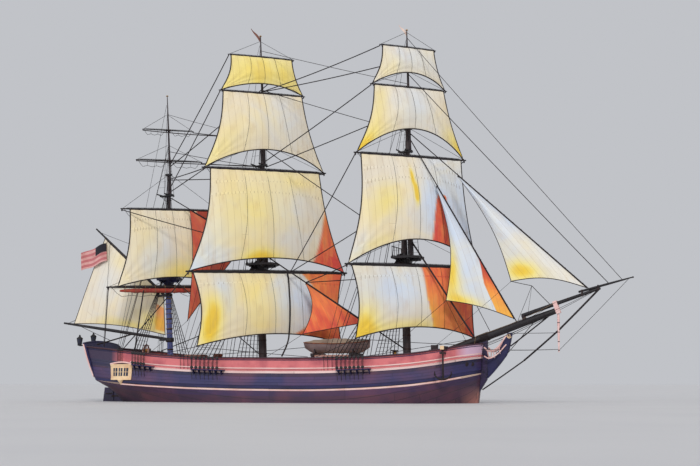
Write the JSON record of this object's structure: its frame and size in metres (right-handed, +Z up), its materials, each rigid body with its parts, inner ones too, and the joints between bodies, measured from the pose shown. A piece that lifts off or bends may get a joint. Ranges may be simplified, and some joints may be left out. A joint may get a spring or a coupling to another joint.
{
  "type": "half-size model of a three-masted sailing ship",
  "caption": "Three-masted square-rigged sailing ship under sail, with yards that brace round, a swinging spanker, rudder, steering wheel and capstan.",
  "frame": {"origin": "amidships on the centreline, at the waterline the ship floats at", "axes": "+X forward to the bow, +Y to port, +Z up"},
  "size_m": [27.1374, 6.071, 19.0266],
  "materials": {
    "hull": "painted",
    "bulwark": "painted",
    "gallery": "painted",
    "spar": "tarred",
    "mast": "oiled",
    "canvas": "sun-bleached canvas",
    "shaded_canvas": "canvas in warm shade",
    "rope": "tarred hemp",
    "iron": "black",
    "boat": "painted",
    "deck_gear": "varnished",
    "ensign": "bunting"
  },
  "bodies": {
    "ship": {"hull": "hull", "head": "hull", "bulwark_starboard": "bulwark", "bulwark_port": "bulwark", "transom": "gallery", "quarter_badge_starboard": "gallery", "quarter_badge_port": "gallery", "bowsprit": "spar", "jib_boom": "spar", "dolphin_striker": "spar", "fore_lower_mast": "mast", "fore_topmast": "mast", "main_lower_mast": "mast", "main_topmast": "mast", "mizzen_lower_mast": "mast", "mizzen_topmast": "mast", "fore_topgallant_mast": "mast", "main_topgallant_mast": "mast", "fore_topmast_staysail": "canvas", "jib": "canvas", "main_staysail": "shaded_canvas", "mizzen_staysail": "shaded_canvas", "fore_stay": "rope", "fore_topmast_stay": "rope", "jib_stay": "rope", "main_stay": "rope", "mizzen_topmast_stay": "rope", "anchor_starboard": "iron", "anchor_port": "iron", "ships_boat": "boat", "wheel_stand": "deck_gear", "boat_skids": "deck_gear"},
    "fore_yards": {"fore_yard": "spar", "fore_topsail_yard": "spar", "fore_topgallant_yard": "spar", "fore_royal_yard": "spar", "fore_course": "canvas", "fore_topsail": "canvas", "fore_topgallant_sail": "canvas", "fore_royal_sail": "canvas"},
    "main_yards": {"main_yard": "spar", "main_topsail_yard": "spar", "main_topgallant_yard": "spar", "main_royal_yard": "spar", "main_course": "canvas", "main_topsail": "canvas", "main_topgallant_sail": "canvas", "main_royal_sail": "canvas"},
    "mizzen_yards": {"crossjack_yard": "spar", "mizzen_topsail_yard": "spar", "mizzen_topgallant_yard": "spar", "mizzen_royal_yard": "spar", "mizzen_topsail": "canvas"},
    "spanker_rig": {"spanker_boom": "spar", "spanker_gaff": "spar", "spanker": "canvas", "ensign": "ensign"},
    "rudder": {"rudder": "hull"},
    "wheel": {"steering_wheel": "deck_gear"},
    "capstan": {"capstan": "deck_gear"}
  },
  "joints": [
    {"name": "fore_yards_brace", "type": "hinge", "parent": "ship", "child": "fore_yards", "pos_m": [5.22522, 0, 5.49858], "axis": [-0.0227, 0, 0.9997], "range_deg": [-3, 86]},
    {"name": "main_yards_brace", "type": "hinge", "parent": "ship", "child": "main_yards", "pos_m": [-1.70532, 0, 5.49518], "axis": [-0.0419, 0, 0.9991], "range_deg": [-3, 86]},
    {"name": "mizzen_yards_brace", "type": "hinge", "parent": "ship", "child": "mizzen_yards", "pos_m": [-6.50702, 0, 5.49142], "axis": [-0.0558, 0, 0.9984], "range_deg": [-3, 86]},
    {"name": "spanker_swing", "type": "hinge", "parent": "ship", "child": "spanker_rig", "pos_m": [-6.57875, 0, 2.83328], "axis": [-0.0558, 0, 0.9984], "range_deg": [-40, 40]},
    {"name": "rudder_turn", "type": "hinge", "parent": "ship", "child": "rudder", "pos_m": [-9.496, 0, 0], "axis": [-0.0678, 0, 0.9977], "range_deg": [-35, 35]},
    {"name": "wheel_turn", "type": "hinge", "parent": "ship", "child": "wheel", "pos_m": [-7.8, 0, 2.375], "axis": [1, 0, 0], "range_deg": [-540, 540]},
    {"name": "capstan_turn", "type": "hinge", "parent": "ship", "child": "capstan", "pos_m": [-4.1, 0, 1.825], "axis": [0, 0, 1], "continuous": true}
  ],
  "couplings": [
    {"joint": "wheel_turn", "follows": "rudder_turn", "ratio": 15.42}
  ]
}
